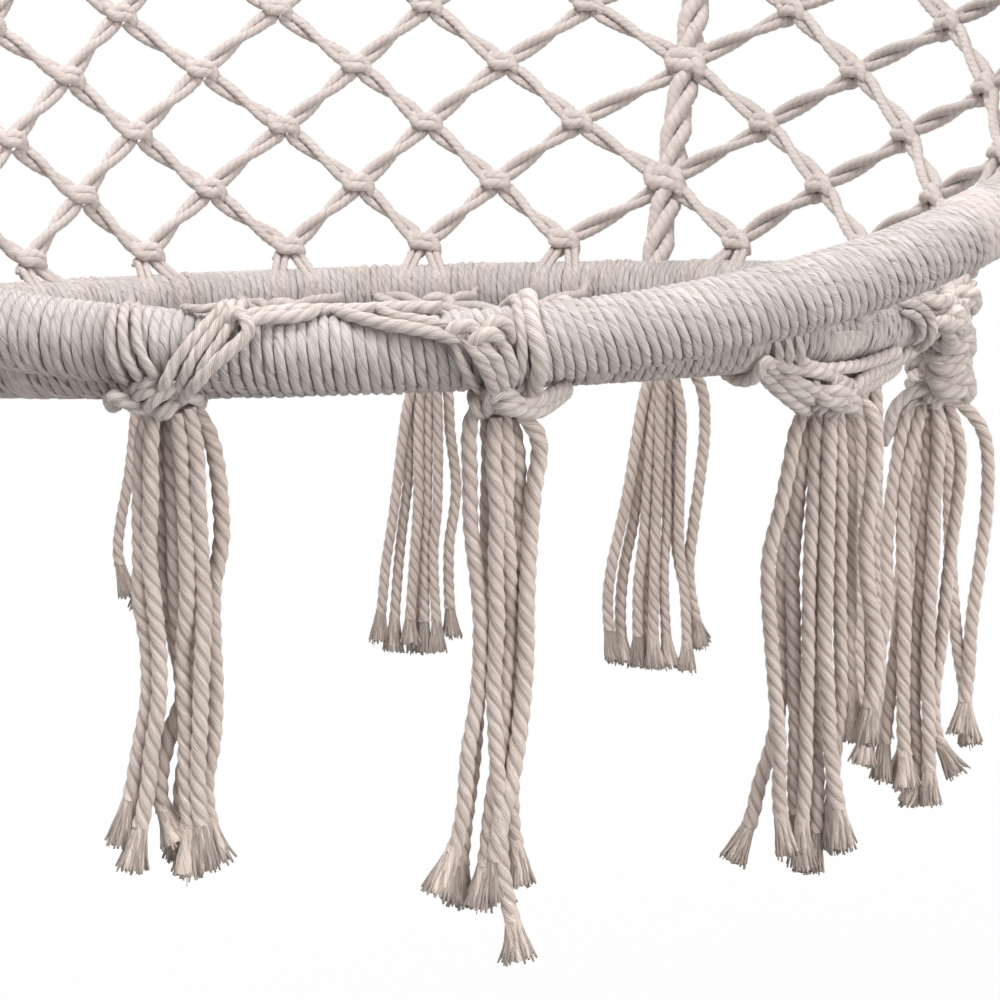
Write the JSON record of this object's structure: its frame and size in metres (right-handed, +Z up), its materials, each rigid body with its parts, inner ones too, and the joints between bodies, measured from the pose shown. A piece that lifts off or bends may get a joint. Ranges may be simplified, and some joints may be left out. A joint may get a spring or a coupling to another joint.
{
  "type": "hammock chair",
  "caption": "Round hanging hammock chair of knotted cotton cord on a level seat ring and a larger, tilted back ring, hung by ropes from a small ring and fringed with tassels.",
  "frame": {"origin": "top of the small ring's hole, where a hook bears", "axes": "+Z up, -Y towards the sitter's front, +X to the right of someone who faces the chair's front"},
  "size_m": [0.8394, 0.774, 1.2181],
  "materials": {
    "steel_wire": "bright zinc plating, a little dulled",
    "steel_tube": "zinc-plated tube, hidden under its winding",
    "winding_cord": "matt natural cotton cord, wound close",
    "rope_cord": "matt natural cotton rope, twisted",
    "net_cord": "matt natural cotton cord, knotted",
    "tie_cord": "matt natural cotton cord, knotted",
    "tassel_cord": "matt natural cotton cord, three plies, ends frayed"
  },
  "bodies": {
    "hanger": {"hang_ring": "steel_wire"},
    "head": {"hanging_cord_1": "rope_cord", "hanging_cord_2": "rope_cord", "hanging_cord_3": "rope_cord", "hanging_cord_4": "rope_cord", "collar_winding": "rope_cord"},
    "sling": {"suspension_rope_right_1": "rope_cord", "suspension_rope_right_2": "rope_cord", "suspension_rope_right_3": "rope_cord", "suspension_rope_right_4": "rope_cord", "suspension_rope_left_1": "rope_cord", "suspension_rope_left_2": "rope_cord", "suspension_rope_left_3": "rope_cord", "suspension_rope_left_4": "rope_cord", "back_ring_tube": "steel_tube", "back_ring_winding": "winding_cord", "back_net": "net_cord", "ring_link_left_2": "net_cord", "ring_link_left_1": "net_cord", "ring_link_right_1": "net_cord", "ring_link_right_2": "net_cord", "lashing_front_left": "tie_cord", "lashing_front_right": "tie_cord", "front_cord": "tie_cord"},
    "seat": {"seat_ring_tube": "steel_tube", "seat_ring_winding": "winding_cord", "seat_net": "net_cord", "tie_right_1": "tie_cord", "tie_right_2": "tie_cord", "tie_right_3": "tie_cord", "tie_right_4": "tie_cord", "tie_right_5": "tie_cord", "tie_rear": "tie_cord", "tie_left_5": "tie_cord", "tie_left_4": "tie_cord", "tie_left_3": "tie_cord", "tie_left_2": "tie_cord", "tie_left_1": "tie_cord"},
    "tassel_front_left": {"tassel_front_left": "tassel_cord"},
    "tassel_front_right": {"tassel_front_right": "tassel_cord"},
    "tassel_right_1": {"tassel_right_1": "tassel_cord"},
    "tassel_right_2": {"tassel_right_2": "tassel_cord"},
    "tassel_right_3": {"tassel_right_3": "tassel_cord"},
    "tassel_right_4": {"tassel_right_4": "tassel_cord"},
    "tassel_right_5": {"tassel_right_5": "tassel_cord"},
    "tassel_rear": {"tassel_rear": "tassel_cord"},
    "tassel_left_5": {"tassel_left_5": "tassel_cord"},
    "tassel_left_4": {"tassel_left_4": "tassel_cord"},
    "tassel_left_3": {"tassel_left_3": "tassel_cord"},
    "tassel_left_2": {"tassel_left_2": "tassel_cord"},
    "tassel_left_1": {"tassel_left_1": "tassel_cord"}
  },
  "joints": [
    {"name": "swing", "type": "hinge", "parent": "hanger", "child": "head", "pos_m": [0, 0, -0.0685], "axis": [1, 0, 0], "range_deg": [-25, 25]},
    {"name": "spin", "type": "hinge", "parent": "head", "child": "sling", "pos_m": [0, 0, -0.1585], "axis": [0, 0, 1], "range_deg": [-180, 180], "stiffness_Nm_per_rad": 0.3},
    {"name": "fold", "type": "hinge", "parent": "sling", "child": "seat", "pos_m": [0, -0.35871, -0.95646], "axis": [1, 0, 0], "range_deg": [0, 22], "deforming": ["back_net", "ring_link_left_2", "ring_link_left_1", "ring_link_right_1", "ring_link_right_2", "lashing_front_left", "lashing_front_right"]},
    {"name": "sway_front_left", "type": "hinge", "parent": "sling", "child": "tassel_front_left", "pos_m": [-0.09531, -0.32746, -0.99166], "axis": [0.9478, -0.319, 0], "range_deg": [-20, 20]},
    {"name": "sway_front_right", "type": "hinge", "parent": "sling", "child": "tassel_front_right", "pos_m": [0.04459, -0.33703, -0.99306], "axis": [0.9888, 0.1495, 0], "range_deg": [-20, 20]},
    {"name": "sway_right_1", "type": "hinge", "parent": "seat", "child": "tassel_right_1", "pos_m": [0.20123, -0.24537, -1.0138], "axis": [0.7385, 0.6743, 0], "range_deg": [-20, 20]},
    {"name": "sway_right_2", "type": "hinge", "parent": "seat", "child": "tassel_right_2", "pos_m": [0.27775, -0.13385, -1.0257], "axis": [0.3649, 0.9311, 0], "range_deg": [-20, 20]},
    {"name": "sway_right_3", "type": "hinge", "parent": "seat", "child": "tassel_right_3", "pos_m": [0.29707, -0.05099, -1.0206], "axis": [0.0872, 0.9962, 0], "range_deg": [-20, 20]},
    {"name": "sway_right_4", "type": "hinge", "parent": "seat", "child": "tassel_right_4", "pos_m": [0.28997, 0.04891, -1.0138], "axis": [-0.247, 0.969, 0], "range_deg": [-20, 20]},
    {"name": "sway_right_5", "type": "hinge", "parent": "seat", "child": "tassel_right_5", "pos_m": [0.19161, 0.20498, -1.0138], "axis": [-0.7683, 0.6401, 0], "range_deg": [-20, 20]},
    {"name": "sway_rear", "type": "hinge", "parent": "seat", "child": "tassel_rear", "pos_m": [0.04358, 0.27009, -1.0138], "axis": [-0.9893, 0.1461, 0], "range_deg": [-20, 20]},
    {"name": "sway_left_5", "type": "hinge", "parent": "seat", "child": "tassel_left_5", "pos_m": [-0.14607, 0.2353, -1.0138], "axis": [-0.8721, -0.4894, 0], "range_deg": [-20, 20]},
    {"name": "sway_left_4", "type": "hinge", "parent": "seat", "child": "tassel_left_4", "pos_m": [-0.26391, 0.11532, -1.0138], "axis": [-0.4695, -0.8829, 0], "range_deg": [-20, 20]},
    {"name": "sway_left_3", "type": "hinge", "parent": "seat", "child": "tassel_left_3", "pos_m": [-0.29649, 0.00616, -1.0138], "axis": [-0.1045, -0.9945, 0], "range_deg": [-20, 20]},
    {"name": "sway_left_2", "type": "hinge", "parent": "seat", "child": "tassel_left_2", "pos_m": [-0.28876, -0.10237, -1.0206], "axis": [0.2588, -0.9659, 0], "range_deg": [-20, 20]},
    {"name": "sway_left_1", "type": "hinge", "parent": "seat", "child": "tassel_left_1", "pos_m": [-0.23727, -0.20772, -1.0138], "axis": [0.6101, -0.7923, 0], "range_deg": [-20, 20]}
  ]
}
